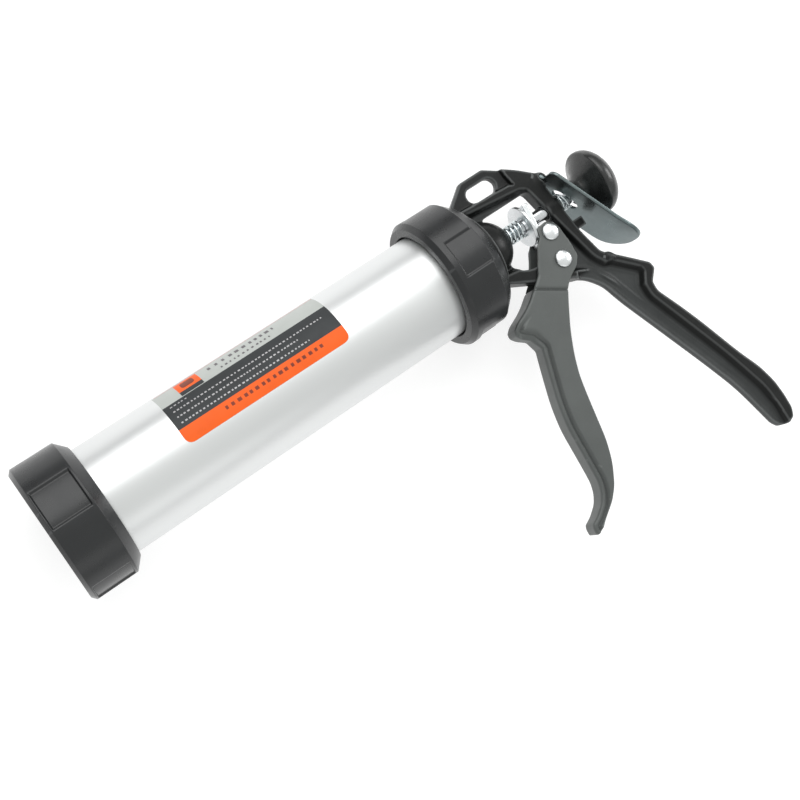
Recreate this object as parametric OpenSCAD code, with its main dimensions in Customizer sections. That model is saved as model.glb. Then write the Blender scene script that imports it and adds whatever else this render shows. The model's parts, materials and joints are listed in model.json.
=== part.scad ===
// Closed-barrel caulking gun, lying on its right side.
// The muzzle points along +X, the handle side along +Y, and the gun's left side up along +Z.
// The origin is on the barrel axis, in the front face of the front cap.
// Sizes are in millimetres.

/* [Barrel] */
// Outer diameter of the barrel tube
barrel_d = 53; // [51:0.5:54]
// Wall thickness of the barrel tube
barrel_wall = 1.5; // [1:0.1:2]
// Distance from the muzzle face to the seat that the barrel's rear end is clamped to
barrel_seat = 228; // [178:5:328]

/* [Screw caps] */
// Outer diameter of the front cap and the rear ring
cap_d = 67; // [66:0.5:70]
// Length of the front cap
cap_len = 27; // [25:0.5:32]
// Diameter of the opening that the nozzle sticks out of
nozzle_hole_d = 30; // [16:1:36]
// Depth of the grip recesses around both caps
grip_depth = 1.1; // [0.5:0.1:1.6]

/* [Label] */
// Length of the label along the barrel
label_len = 86; // [40:1:110]
// Distance from the muzzle face to the label's front edge
label_start = 67.5; // [40:0.5:80]
// Angle of the label around the barrel
label_angle = 76; // [40:1:120]

/* [Rod and piston] */
// Diameter of the push rod
rod_d = 7; // [6:0.5:7]
// Radial gap between the piston and the barrel
piston_gap = 0.4; // [0.35:0.05:1]
// Length of the piston cup
piston_len = 18; // [14:1:30]
// Diameter of the knob
knob_d = 34.6; // [28:0.2:38]

/* [Frame] */
// Thickness of the frame over its ribs
frame_t = 10; // [9:0.2:10.4]
// Thickness of the frame's web
web_t = 3.2; // [2.6:0.2:4]
// Width of the ribs around the frame's edge
rib_w = 3.6; // [2.8:0.1:4.2]

/* [Trigger] */
// Sheet thickness of the trigger
trigger_t = 1.6; // [1.2:0.1:1.8]
// Diameter of the pivot rivet's and the drive pin's shanks
pin_d = 6; // [5:0.5:6.5]
// Diameter of the domed pin heads
pin_head_d = 8.8; // [8:0.2:10]

/* [Drive and release] */
// Thickness of the drive plate
drive_plate_t = 3.2; // [2:0.2:3.2]
// Diameter of the drive washer
drive_washer_d = 21.6; // [18:0.2:21.6]
// Angle that the drive plate leans at
drive_lean = 7; // [5:0.5:8]
// Angle that the release plate leans back at
release_lean = 24; // [23:0.5:25.5]
// Width of the release plate
release_w = 32; // [30:0.5:36]
// Thickness of the release plate
release_t = 1.8; // [1.4:0.1:2]

/* [Hidden] */
$fn = 96;

barrel_r = barrel_d / 2;
bore_r = barrel_r - barrel_wall;
cap_r = cap_d / 2;
cap_bore_r = barrel_r + 0.3;
rod_r = rod_d / 2;
guide_r = rod_r + 0.3;
pin_r = pin_d / 2;

// front cap
cap_floor = 5;
gasket_t = 2;
tube_front = cap_floor + gasket_t;
cap_bevel_r = 5.2;
cap_bevel_len = 4.7;

// Side-view places are given as [distance behind body_at, distance towards the handle].
body_at = barrel_seat + 2;
pivot = [42, 24.1];
drive_pin_at = [44.3, 9.6];
hub_r = 7.5;
bead_h = 2;
frame_h = frame_t / 2;
ear_in = frame_h + 0.4;
ear_out = ear_in + trigger_t;
flange_t = 4;
flange_r = barrel_r - 0.3;
neck_r = 21.3;
body_start = 9;
nose_d = 24.7;
wall_back = 58.6;
hang_slot = [27.6, -25.8];
hang_slot_len = 17;
hang_slot_w = 8;
lug_h = 2.4;

// drive group
washer_front = 35.7;
washer_t = 1.6;
drive_plate_w = 10;
drive_plate_end = 13;
drive_plate_top = -9.3;
spring_wire = 0.6;

// release group
hinge = [57.8, -15.6];
hinge_bead_r = 1.2;
release_straight = 39.5;
release_bend_r = 50;
release_bend = 22;
release_end = 58.5;
release_corner = 4;
release_tip_corner = 14;

// rod and piston
knob_front = 69.6;
knob_back = 91.2;
rod_back = 84.5;
piston_front = 12;
piston_pocket = 8;
piston_back = piston_front + piston_len;
piston_plate_t = 2.2;
rod_end_r = 2.5;
rod_shoulder = piston_back + piston_plate_t + 0.3;

// Turns a shape that stands along Z so that it lies along the barrel axis.
module along_axis() {
    rotate([0, 90, 0]) children();
}

// A round bar on the barrel axis, between two distances behind the muzzle.
module bar(from, to, r) {
    translate([-to, 0, 0]) along_axis() cylinder(h = to - from, r = r);
}

// Places side-view geometry, drawn as distances behind body_at.
module side_view() {
    translate([-body_at, 0, 0]) mirror([1, 0, 0]) children();
}

// A plate of the given half thickness about the gun's middle plane.
module slab(half) {
    linear_extrude(height = 2 * half, center = true) children();
}

// Rounds the outer corners and then the inner corners of a flat shape.
module rounded(outer, inner) {
    offset(r = -inner, $fn = 28) offset(delta = inner)
        offset(r = outer, $fn = 28) offset(delta = -outer) children();
}

function arc(centre, r, from, to, steps) =
    [for (i = [0:steps]) centre + r * [cos(from + (to - from) * i / steps),
                                       sin(from + (to - from) * i / steps)]];

// A wire coil from x = 0 to x = length. lean tilts its far end about Z.
module coil(length, turns, coil_r, wire_r, lean) {
    rings = round(turns * 16);
    sides = 8;
    function ring_x(a, s) = s * (length + lean * coil_r * cos(a));
    points = [for (i = [0:rings], j = [0:sides - 1])
        let (s = i / rings, a = 360 * turns * s, b = 360 * j / sides,
             r = coil_r + wire_r * cos(b))
            [ring_x(a, s) + wire_r * sin(b), r * cos(a), r * sin(a)]];
    sides_faces = [for (i = [0:rings - 1], j = [0:sides - 1], half = [0, 1])
        let (k = (j + 1) % sides, p = i * sides)
            half == 0 ? [p + j, p + k, p + sides + k] : [p + j, p + sides + k, p + sides + j]];
    start_cap = [[for (j = [sides - 1:-1:0]) j]];
    end_cap = [[for (j = [0:sides - 1]) rings * sides + j]];
    polyhedron(points = points, faces = concat(sides_faces, start_cap, end_cap));
}

// Four recesses around a cap, each between two angles, so that fingers get a grip.
module grip_recesses(from, to, first) {
    for (i = [0:3])
        translate([-to, 0, 0]) rotate([first + 90 * i, 0, 0]) along_axis()
            rotate_extrude(angle = 34) translate([cap_r - grip_depth, 0]) square([4, to - from]);
}

module front_cap() {
    color([0.12, 0.12, 0.13]) difference() {
        along_axis() rotate_extrude() polygon([
            [nozzle_hole_d / 2, 0],
            [cap_r - 2.2, 0],
            [cap_r, -1.8],
            [cap_r, -cap_len + cap_bevel_len],
            [cap_r - cap_bevel_r, -cap_len],
            [cap_bore_r, -cap_len],
            [cap_bore_r, -cap_floor],
            [nozzle_hole_d / 2, -cap_floor]]);
        grip_recesses(2.2, cap_len - 5.6, 90);
    }
}

module front_gasket() {
    color([0.2, 0.2, 0.2]) difference() {
        bar(cap_floor + 0.05, tube_front - 0.05, barrel_r);
        bar(cap_floor - 1, tube_front + 1, bore_r - 3);
    }
}

module barrel_tube() {
    color([0.82, 0.83, 0.84]) difference() {
        bar(tube_front, barrel_seat - 0.2, barrel_r);
        bar(tube_front - 1, barrel_seat + 1, bore_r);
    }
}

module barrel_label() {
    color([0.9, 0.4, 0.2]) translate([-label_start - label_len, 0, 0]) rotate([178, 0, 0])
        along_axis() rotate_extrude(angle = label_angle)
            translate([barrel_r, 0]) square([0.15, label_len]);
}

module rear_ring() {
    ring_front = barrel_seat - 20;
    ring_back = barrel_seat + 7;
    color([0.12, 0.12, 0.13]) difference() {
        along_axis() rotate_extrude() polygon([
            [cap_bore_r + 0.8, -ring_front],
            [cap_r - 2, -ring_front],
            [cap_r, -ring_front - 2.5],
            [cap_r, -ring_back + 6.5],
            [cap_r - 5.5, -ring_back],
            [neck_r + 0.5, -ring_back],
            [neck_r + 0.5, -barrel_seat - flange_t - 0.2],
            [cap_bore_r, -barrel_seat - flange_t - 0.2],
            [cap_bore_r, -ring_front - 1.5]]);
        grip_recesses(ring_front + 5.5, ring_back - 3, 78);
    }
}

// Outline of the casting: hanging lug, rear wall, thumb horn, handle and lower beam.
module frame_outline() {
    lug = [[body_start, -26.6], [17.2, -32.4], [19.9, -34.4], [33.8, -34.5], [36.5, -32.8]];
    rear_wall = [[57.4, -17.6], [56.9, -11], [58.3, 4.7], [59.2, 17], [62.3, 30.8], [64.2, 33]];
    horn = [[74.1, 42.1], [82, 49.8], [82.6, 53.4], [77.3, 58.8], [76.9, 63.6]];
    handle_back = [[82.5, 76.2], [87.3, 88.2], [96.2, 113.3], [101.3, 125.1], [103.8, 135.5],
                   [104.4, 144]];
    handle_end = arc([97.6, 151.2], 6.3, 5, 165, 10);
    handle_front = [[85.9, 128], [77.8, 106.3], [65.8, 76.2], [58.7, 58.5], [55, 46.6]];
    crotch = [[49.3, 39.5], [42.5, 35.2], [24.9, 26.7], [13.1, 20.7], [body_start, 18.6]];
    rounded(1.5, 3) polygon(concat(lug, rear_wall, horn, handle_back, handle_end,
                                   handle_front, crotch));
}

// The hanging lug, which is thinner than the ribs.
module lug_zone() {
    polygon([[0, -40], [41, -40], [41.4, -26], [42.4, -20], [40, -21], [0, -23]]);
}

// The handle's front edge, which is only a low bead.
module bead_zone() {
    polygon([[46, 34], [55, 36], [64, 54], [74, 80], [84, 106], [93, 130], [98, 145],
             [98, 152], [94, 170], [80, 160], [30, 60]]);
}

// The hollow on each side of the web.
module pocket_outline() {
    intersection() {
        offset(delta = -rib_w) frame_outline();
        rounded(1.5, 2) polygon([[0, -21], [21, -18.8], [44, -16.4], [47.4, -14.4], [50, -4],
                                 [52.8, 9], [58, 31.5], [61.5, 37], [66, 38.4], [76.5, 49],
                                 [77, 51.5], [73, 57.6], [72.8, 64], [81.2, 86], [90.2, 110],
                                 [99.2, 136], [100, 148], [88, 152], [30, 60], [40, 20], [0, 14]]);
    }
}

// The opening that the drive works in.
module window_outline() {
    front = 18.8;
    bottom = 20.3;
    corner = 8;
    polygon(concat([[front, -13.6], [47.5, -13.6], [50.3, 4], [50.8, 14], [49.5, bottom]],
                   arc([front + corner, bottom - corner], corner, 90, 180, 8)));
}

module frame() {
    color([0.1, 0.1, 0.11]) difference() {
        union() {
            bar(barrel_seat, barrel_seat + flange_t, flange_r);
            bar(barrel_seat, body_at + body_start + 1, neck_r);
            side_view() {
                slab(web_t / 2) frame_outline();
                slab(lug_h) intersection() {
                    frame_outline();
                    lug_zone();
                }
                slab(frame_h) difference() {
                    frame_outline();
                    pocket_outline();
                    lug_zone();
                    bead_zone();
                }
                slab(bead_h) difference() {
                    frame_outline();
                    offset(delta = -2.4) frame_outline();
                }
                translate(pivot) cylinder(h = frame_t + 0.6, r = hub_r, center = true);
                // knuckle that holds the release plate's top edge
                translate(hinge + [-1.2, 1]) cylinder(h = frame_t, r = 3.8, center = true);
                // stop for the release plate
                translate([wall_back - 2, 11.2, -2.5]) cube([9, 5, 5]);
            }
            // seat of the release spring
            bar(body_at + 52.5, body_at + wall_back, 6.8);
            // domed rod guide
            intersection() {
                translate([-body_at - 11.3, 0, 0]) sphere(r = 14.6);
                bar(body_at + body_start, body_at + nose_d, 20);
            }
        }
        side_view() {
            difference() {
                slab(frame_h + 1) window_outline();
                translate([0, 0, -20]) translate(pivot) cylinder(h = 40, r = hub_r);
                along_axis() translate([0, 0, body_start]) cylinder(h = nose_d - body_start, r = 13);
            }
            for (end = [-1, 1])
                translate(hang_slot + [end * (hang_slot_len - hang_slot_w) / 2, 0])
                    cylinder(h = 4 * lug_h, d = hang_slot_w, center = true);
            translate([hang_slot.x, hang_slot.y, 0])
                cube([hang_slot_len - hang_slot_w, hang_slot_w, 4 * lug_h], center = true);
            translate(pivot) cylinder(h = 2 * frame_t, r = pin_r + 0.05, center = true);
            // groove for the release plate's top edge, open over the plate's swing
            translate(hinge) cylinder(h = frame_t + 2, r = hinge_bead_r + 0.3, center = true);
            for (lean = [release_lean + 1.5, release_lean - 4, release_lean - 10])
                translate(hinge) rotate([0, 0, -lean])
                    translate([-release_t / 2 - 0.35, 0, -frame_t])
                        cube([release_t + 0.7, 14, 2 * frame_t]);
        }
        bar(barrel_seat - 1, body_at + wall_back + 5, guide_r);
    }
}

// A pin with a domed head at each end.
module domed_pin(shank_r, half_len) {
    head_h = 1.7;
    dome_r = (pow(pin_head_d / 2, 2) + head_h * head_h) / (2 * head_h);
    cylinder(h = 2 * half_len, r = shank_r, center = true);
    for (side = [0, 1]) mirror([0, 0, side]) translate([0, 0, half_len]) intersection() {
        translate([0, 0, head_h - dome_r]) sphere(r = dome_r);
        cylinder(h = head_h + 1, d = pin_head_d);
    }
}

module pivot_rivet() {
    color([0.8, 0.82, 0.84]) side_view() translate(pivot) domed_pin(pin_r, ear_out + 0.1);
}

module drive_pin() {
    color([0.8, 0.82, 0.84]) side_view() translate(drive_pin_at) domed_pin(pin_r, ear_out);
}

// Side outline of the trigger: ears, shoulder, nose, grip and tip.
module trigger_outline() {
    ear_top = [[49.8, 9.6], [48.4, 6.2], [45, 4.1], [39.6, 4.6], [38.6, 6], [38, 8.7], [36.3, 10.5]];
    ear_front = [[34, 12.2], [31.5, 16.2], [25.8, 23.8], [19.9, 28.2], [12, 33.6], [2.8, 37.4]];
    nose = [[-0.2, 39.7], [-1.1, 42.3], [0.8, 45.2], [4.7, 48.4], [6.7, 54.5]];
    grip_front = [[2, 67.6], [-2.2, 79.7], [-5.2, 92.6], [-6.7, 112.2], [-7.6, 122.2]];
    tip = [[-9.4, 127.4], [-12.3, 131.6], [-17.6, 135.4], [-22, 137.3], [-23, 139.4], [-23.2, 143]];
    grip_back = [[-20.9, 142.8], [-16.5, 139.4], [-11.5, 136.2], [-7.3, 133.3], [-2.1, 128.2],
                 [3.7, 118.7], [7.5, 108.4], [12.3, 85.4]];
    throat = [[14.7, 75.3], [18.3, 66], [23.9, 54.9], [31.9, 42.4], [36, 36.6], [41, 33]];
    ear_back = [[46, 30.8], [49.6, 26.5], [50.2, 20]];
    rounded(1.5, 3) polygon(concat(ear_top, ear_front, nose, grip_front, tip, grip_back,
                                   throat, ear_back));
}

// Everything inside the trigger's sheet, open towards the handle.
module trigger_hollow() {
    for (shift = [0:5:20])
        translate([shift, 0]) offset(delta = -trigger_t) trigger_outline();
    polygon([[10, 0], [60, 0], [60, 53.5], [20.1, 28.5]]);
}

module trigger() {
    color([0.2, 0.2, 0.21]) side_view() difference() {
        slab(ear_out) trigger_outline();
        slab(ear_in) trigger_hollow();
        translate(pivot) cylinder(h = 40, r = pin_r + 0.1, center = true);
        translate(drive_pin_at) cylinder(h = 40, r = pin_r + 0.05, center = true);
    }
}

module drive_plate() {
    front = washer_front + washer_t + 0.05;
    length = drive_plate_end - drive_plate_top;
    color([0.85, 0.86, 0.88]) difference() {
        side_view() translate([front, drive_plate_end, 0]) rotate([0, 0, drive_lean])
            translate([0, -length, -drive_plate_w / 2]) cube([drive_plate_t, length, drive_plate_w]);
        bar(body_at + 30, body_at + 50, rod_r + 0.45);
    }
}

module drive_washer() {
    color([0.72, 0.76, 0.75]) difference() {
        bar(body_at + washer_front, body_at + washer_front + washer_t, drive_washer_d / 2);
        bar(body_at + 30, body_at + 40, rod_r + 0.3);
    }
}

module drive_spring() {
    start = nose_d + spring_wire + 0.05;
    end = washer_front - spring_wire - 0.05;
    color([0.8, 0.83, 0.85]) side_view() translate([start, 0, 0])
        coil(end - start, 4, rod_r + 0.4 + spring_wire, spring_wire, 0);
}

// Side outline of the release plate: a straight blade, then a bend towards the thumb.
module release_profile() {
    half = release_t / 2;
    centre = [release_bend_r, release_straight];
    outer = arc(centre, release_bend_r + half, 180, 180 - release_bend, 12);
    inner = arc(centre, release_bend_r - half, 180 - release_bend, 180, 12);
    polygon(concat([[half, 0], [-half, 0]], outer, inner));
}

module release_plate() {
    slot_len = 5.5;
    color([0.65, 0.69, 0.71]) side_view() difference() {
        translate(hinge) rotate([0, 0, -release_lean]) union() {
            intersection() {
                slab(release_w / 2) release_profile();
                // rounded thumb end, seen along the barrel
                translate([-10, 0, 0]) along_axis() linear_extrude(height = 60) union() {
                    translate([-frame_h, 0]) square([frame_t, 10]);
                    translate([-release_w / 2 + release_corner, 1.4])
                        square([release_w - 2 * release_corner, release_corner]);
                    for (side = [-1, 1])
                        translate([side * (release_w / 2 - release_corner), release_corner + 1.4])
                            circle(r = release_corner);
                    translate([-release_w / 2, release_corner + 1.4])
                        square([release_w, release_end - release_tip_corner - release_corner - 1.4]);
                    for (side = [-1, 1])
                        translate([side * (release_w / 2 - release_tip_corner),
                                   release_end - release_tip_corner])
                            circle(r = release_tip_corner);
                    translate([release_tip_corner - release_w / 2, release_end - 2 * release_tip_corner])
                        square([release_w - 2 * release_tip_corner, 2 * release_tip_corner]);
                }
            }
            cylinder(h = frame_t - 0.4, r = hinge_bead_r, center = true);
        }
        // slot for the rod, long enough for the plate's swing
        for (end = [-1, 1])
            translate([50, end * slot_len / 2, 0]) along_axis() cylinder(h = 40, r = rod_r + 0.5);
        translate([50, -slot_len / 2, -rod_r - 0.5]) cube([40, slot_len, 2 * rod_r + 1]);
    }
}

module release_spring() {
    coil_r = 4.5;
    wire = 0.45;
    start = wall_back + wire + 0.05;
    gap_at_axis = hinge.x + tan(release_lean) * -hinge.y - release_t / 2 / cos(release_lean);
    color([0.8, 0.83, 0.85]) side_view() translate([start, 0, 0])
        coil(gap_at_axis - wire - 0.15 - start, 2, coil_r, wire, tan(release_lean));
}

module rod() {
    color([0.86, 0.87, 0.89]) union() {
        bar(piston_front + 0.8, rod_shoulder + 1, rod_end_r);
        bar(rod_shoulder, body_at + rod_back, rod_r);
    }
}

module knob() {
    rim = 81.4;
    color([0.1, 0.1, 0.1]) difference() {
        translate([-body_at, 0, 0]) along_axis() rotate_extrude() polygon(concat(
            [[0, -knob_front], [6, -knob_front], [6.6, -knob_front - 3], [9.5, -knob_front - 5.5]],
            arc([knob_d / 2 - 1.6, -rim + 0.6], 1.6, 70, 0, 5),
            [for (a = [6:12:78]) [knob_d / 2 * cos(a), -rim - (knob_back - rim) * sin(a)]],
            [[0, -knob_back]]));
        bar(body_at + knob_front - 1, body_at + 72, rod_r + 0.1);
        bar(body_at + 71.5, body_at + 86, 5.5);
    }
}

module knob_insert() {
    color([0.8, 0.66, 0.35]) difference() {
        bar(body_at + 71.5, body_at + 86, 5.5);
        bar(body_at + 71, body_at + rod_back, rod_r);
    }
}

module piston_nut() {
    front = piston_front + 2;
    color([0.7, 0.72, 0.73]) difference() {
        translate([-front - 4, 0, 0]) along_axis() cylinder(h = 4, d = 9.2, $fn = 6);
        bar(front - 1, front + 5, rod_end_r);
    }
}

module piston_washer() {
    front = piston_front + 6;
    color([0.7, 0.72, 0.73]) difference() {
        bar(front, front + 1.6, 7);
        bar(front - 1, front + 3, rod_end_r);
    }
}

module piston_cup() {
    seal_at = piston_front + 9;
    color([0.85, 0.85, 0.82]) difference() {
        union() {
            bar(piston_front + 1.5, piston_back, bore_r - piston_gap);
            bar(piston_front, piston_front + 1.6, bore_r - piston_gap - 1.5);
        }
        // pocket for the nut and its washer
        bar(piston_front - 1, piston_front + piston_pocket, 8.5);
        bar(piston_front, piston_back + 1, rod_end_r + 0.3);
        // groove for the seal
        difference() {
            bar(seal_at, seal_at + 3.2, bore_r + 1);
            bar(seal_at - 1, seal_at + 5, bore_r - 2.9);
        }
    }
}

module piston_seal() {
    seal_r = 1.35;
    color([0.15, 0.15, 0.15]) translate([-piston_front - 10.6, 0, 0]) along_axis()
        rotate_extrude() translate([bore_r - 0.1 - seal_r, 0]) circle(r = seal_r, $fn = 24);
}

module piston_plate() {
    color([0.7, 0.72, 0.73]) difference() {
        bar(piston_back + 0.05, piston_back + piston_plate_t, bore_r - 3);
        bar(piston_back - 1, piston_back + 5, rod_end_r + 0.3);
    }
}

front_cap();
front_gasket();
barrel_tube();
barrel_label();
rear_ring();
frame();
pivot_rivet();
drive_pin();
trigger();
drive_plate();
drive_washer();
drive_spring();
release_plate();
release_spring();
rod();
knob();
knob_insert();
piston_nut();
piston_washer();
piston_cup();
piston_seal();
piston_plate();
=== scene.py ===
import json
import math

import bmesh
import bpy
import numpy as np
from mathutils import Matrix, Vector


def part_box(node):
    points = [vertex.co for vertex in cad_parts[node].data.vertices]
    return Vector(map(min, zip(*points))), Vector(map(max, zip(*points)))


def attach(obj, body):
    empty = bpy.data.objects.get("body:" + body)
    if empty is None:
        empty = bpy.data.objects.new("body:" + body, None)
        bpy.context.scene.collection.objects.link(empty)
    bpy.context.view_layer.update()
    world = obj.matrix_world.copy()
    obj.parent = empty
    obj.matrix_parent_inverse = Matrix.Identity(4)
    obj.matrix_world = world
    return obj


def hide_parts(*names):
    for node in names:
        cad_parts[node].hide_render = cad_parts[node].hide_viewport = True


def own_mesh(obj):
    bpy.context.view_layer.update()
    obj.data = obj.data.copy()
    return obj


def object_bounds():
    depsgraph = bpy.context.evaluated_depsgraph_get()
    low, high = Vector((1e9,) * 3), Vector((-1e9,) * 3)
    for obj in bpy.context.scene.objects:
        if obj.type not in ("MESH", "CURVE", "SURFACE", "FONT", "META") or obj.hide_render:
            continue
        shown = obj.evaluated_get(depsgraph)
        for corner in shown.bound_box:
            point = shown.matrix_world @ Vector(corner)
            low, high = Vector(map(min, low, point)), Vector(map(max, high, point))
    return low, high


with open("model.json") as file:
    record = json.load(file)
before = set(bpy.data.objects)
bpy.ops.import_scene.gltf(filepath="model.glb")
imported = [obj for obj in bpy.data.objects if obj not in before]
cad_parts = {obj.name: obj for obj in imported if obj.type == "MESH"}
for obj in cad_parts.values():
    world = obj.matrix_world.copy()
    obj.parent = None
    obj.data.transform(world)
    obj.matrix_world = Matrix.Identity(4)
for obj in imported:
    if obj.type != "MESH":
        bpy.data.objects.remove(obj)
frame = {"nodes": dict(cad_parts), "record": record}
CAD_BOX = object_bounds()
MM = 0.001
BODY_OF = {n: b for b, names in frame["record"]["behaviour"]["bodies"].items() for n in names}
SLOT_OF = {s["node"]: s["material_slot"] for s in frame["record"]["subparts"]}


# ---------------------------------------------------------------- camera, light and world

def add_camera():
    data = bpy.data.cameras.new("camera")
    data.sensor_width = 36
    data.lens = 54.09
    camera = bpy.data.objects.new("camera", data)
    bpy.context.scene.collection.objects.link(camera)
    right = Vector((-0.7895, 0.5584, 0.2548))
    up = Vector((-0.5406, -0.8292, 0.1421))
    back = Vector((0.2906, -0.0256, 0.9565))
    at = Vector((-0.000535, 0.021834, 0.539013))
    camera.matrix_world = Matrix(((right.x, up.x, back.x, at.x),
                                  (right.y, up.y, back.y, at.y),
                                  (right.z, up.z, back.z, at.z),
                                  (0, 0, 0, 1)))
    bpy.context.scene.camera = camera
    bpy.context.scene.view_settings.view_transform = "Standard"


def add_light(name, at, target, size, power, color=(1, 1, 1)):
    data = bpy.data.lights.new(name, "AREA")
    data.shape = "RECTANGLE"
    data.size, data.size_y = size
    data.energy = power
    data.color = color
    light = bpy.data.objects.new(name, data)
    bpy.context.scene.collection.objects.link(light)
    light.location = at
    light.rotation_euler = (Vector(at) - Vector(target)).to_track_quat("Z", "Y").to_euler()


def add_world():
    world = bpy.data.worlds.new("studio")
    world.use_nodes = True
    nodes, links = world.node_tree.nodes, world.node_tree.links
    background = nodes["Background"]
    coord = nodes.new("ShaderNodeTexCoord")
    split = nodes.new("ShaderNodeSeparateXYZ")
    ramp = nodes.new("ShaderNodeValToRGB")
    remap = nodes.new("ShaderNodeMapRange")
    remap.inputs["From Min"].default_value = -1
    links.new(coord.outputs["Generated"], split.inputs[0])
    links.new(split.outputs["Z"], remap.inputs["Value"])
    links.new(remap.outputs["Result"], ramp.inputs["Fac"])
    ramp.color_ramp.elements[0].position = 0.5
    ramp.color_ramp.elements[0].color = (0.735, 0.745, 0.74, 1)
    ramp.color_ramp.elements[1].position = 0.93
    ramp.color_ramp.elements[1].color = (0.985, 1.0, 0.985, 1)
    # the room is darker towards -Y, which greys the far edge of the tube
    side = nodes.new("ShaderNodeMapRange")
    side.inputs["From Min"].default_value = -0.95
    side.inputs["From Max"].default_value = -0.25
    side.inputs["To Min"].default_value = 0.55
    links.new(split.outputs["Y"], side.inputs["Value"])
    scale = nodes.new("ShaderNodeVectorMath")
    scale.operation = "SCALE"
    links.new(ramp.outputs["Color"], scale.inputs[0])
    links.new(side.outputs["Result"], scale.inputs["Scale"])
    links.new(scale.outputs["Vector"], background.inputs["Color"])
    background.inputs["Strength"].default_value = 0.80
    bpy.context.scene.world = world


# ---------------------------------------------------------------- materials

def shader(name, color, roughness, metallic=0.0, specular=0.5, vary=0.0, vary_scale=60.0,
           rough_vary=0.05, bump=0.0, bump_scale=900.0, stretch=(1, 1, 1), coat=0.0,
           coat_roughness=0.2, second=None, wear=0.0, painted_rim_shade=None,
           sharp=(0.52, 0.58)):
    """A painted, moulded or metal finish, with uneven colour and gloss and a fine surface.

    second is a colour that shows in patches. The rim colour is painted shade: it darkens what
    stands more than 2 mm from the middle of a casting, as its rims fall dark. The edge amount is
    how much the edges are rubbed lighter, between the two values of pointiness in sharp; with it,
    painted shade darkens the corners.
    """
    mat = bpy.data.materials.new(name)
    mat.use_nodes = True
    nodes, links = mat.node_tree.nodes, mat.node_tree.links
    bsdf = nodes["Principled BSDF"]
    bsdf.inputs["Metallic"].default_value = metallic
    bsdf.inputs["Specular IOR Level"].default_value = specular
    bsdf.inputs["Coat Weight"].default_value = coat
    bsdf.inputs["Coat Roughness"].default_value = coat_roughness
    coord = nodes.new("ShaderNodeTexCoord")
    mapping = nodes.new("ShaderNodeMapping")
    mapping.inputs["Scale"].default_value = stretch
    links.new(coord.outputs["Object"], mapping.inputs["Vector"])

    def noise(scale, detail, rough=0.6):
        n = nodes.new("ShaderNodeTexNoise")
        n.inputs["Scale"].default_value = scale
        n.inputs["Detail"].default_value = detail
        n.inputs["Roughness"].default_value = rough
        links.new(mapping.outputs["Vector"], n.inputs["Vector"])
        return n.outputs["Fac"]

    def remap(value, low, high, to_low, to_high):
        m = nodes.new("ShaderNodeMapRange")
        m.inputs["From Min"].default_value = low
        m.inputs["From Max"].default_value = high
        m.inputs["To Min"].default_value = to_low
        m.inputs["To Max"].default_value = to_high
        links.new(value, m.inputs["Value"])
        return m.outputs["Result"]

    def mix(factor, a, b):
        m = nodes.new("ShaderNodeMix")
        m.data_type = "RGBA"
        links.new(factor, m.inputs["Factor"])
        for socket, value in ((m.inputs["A"], a), (m.inputs["B"], b)):
            if isinstance(value, tuple):
                socket.default_value = (*value, 1)
            else:
                links.new(value, socket)
        return m.outputs["Result"]

    def shade(k):
        return tuple(max(0.0, min(1.0, c * k)) for c in color)

    broad = noise(vary_scale, 4)
    base = mix(remap(broad, 0.3, 0.7, 0, 1), shade(1 - vary), shade(1 + vary))
    if second is not None:
        base = mix(remap(noise(vary_scale * 0.45, 3), 0.45, 0.75, 0, 0.6), base, second)
    if painted_rim_shade is not None:
        # painted shade: a casting's rims, which stand up from its web, are coloured black for the
        # dark that falls on them, where its web is grey
        split = nodes.new("ShaderNodeSeparateXYZ")
        links.new(coord.outputs["Object"], split.inputs[0])
        height = nodes.new("ShaderNodeMath")
        height.operation = "ABSOLUTE"
        links.new(split.outputs["Z"], height.inputs[0])
        base = mix(remap(height.outputs[0], 0.0018, 0.0025, 0, 1), base, painted_rim_shade)
    rough = remap(noise(vary_scale * 2.3, 5), 0.3, 0.7,
                  roughness - rough_vary, roughness + rough_vary)
    if wear > 0:
        # rubbed lighter along its edges, and painted shade darkens it down in its corners
        geometry = nodes.new("ShaderNodeNewGeometry")
        edge = remap(geometry.outputs["Pointiness"], *sharp, 0, wear)
        base = mix(edge, base, tuple(min(1.0, c * 2.5 + 0.04) for c in color))
        corner = remap(geometry.outputs["Pointiness"], 0.495, 0.44, 0, 0.9)
        base = mix(corner, base, shade(0.2))
    links.new(base, bsdf.inputs["Base Color"])
    links.new(rough, bsdf.inputs["Roughness"])
    if bump > 0:
        height = noise(bump_scale, 3)
        b = nodes.new("ShaderNodeBump")
        b.inputs["Strength"].default_value = bump
        b.inputs["Distance"].default_value = 0.0002
        links.new(height, b.inputs["Height"])
        links.new(b.outputs["Normal"], bsdf.inputs["Normal"])
    return mat


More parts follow.
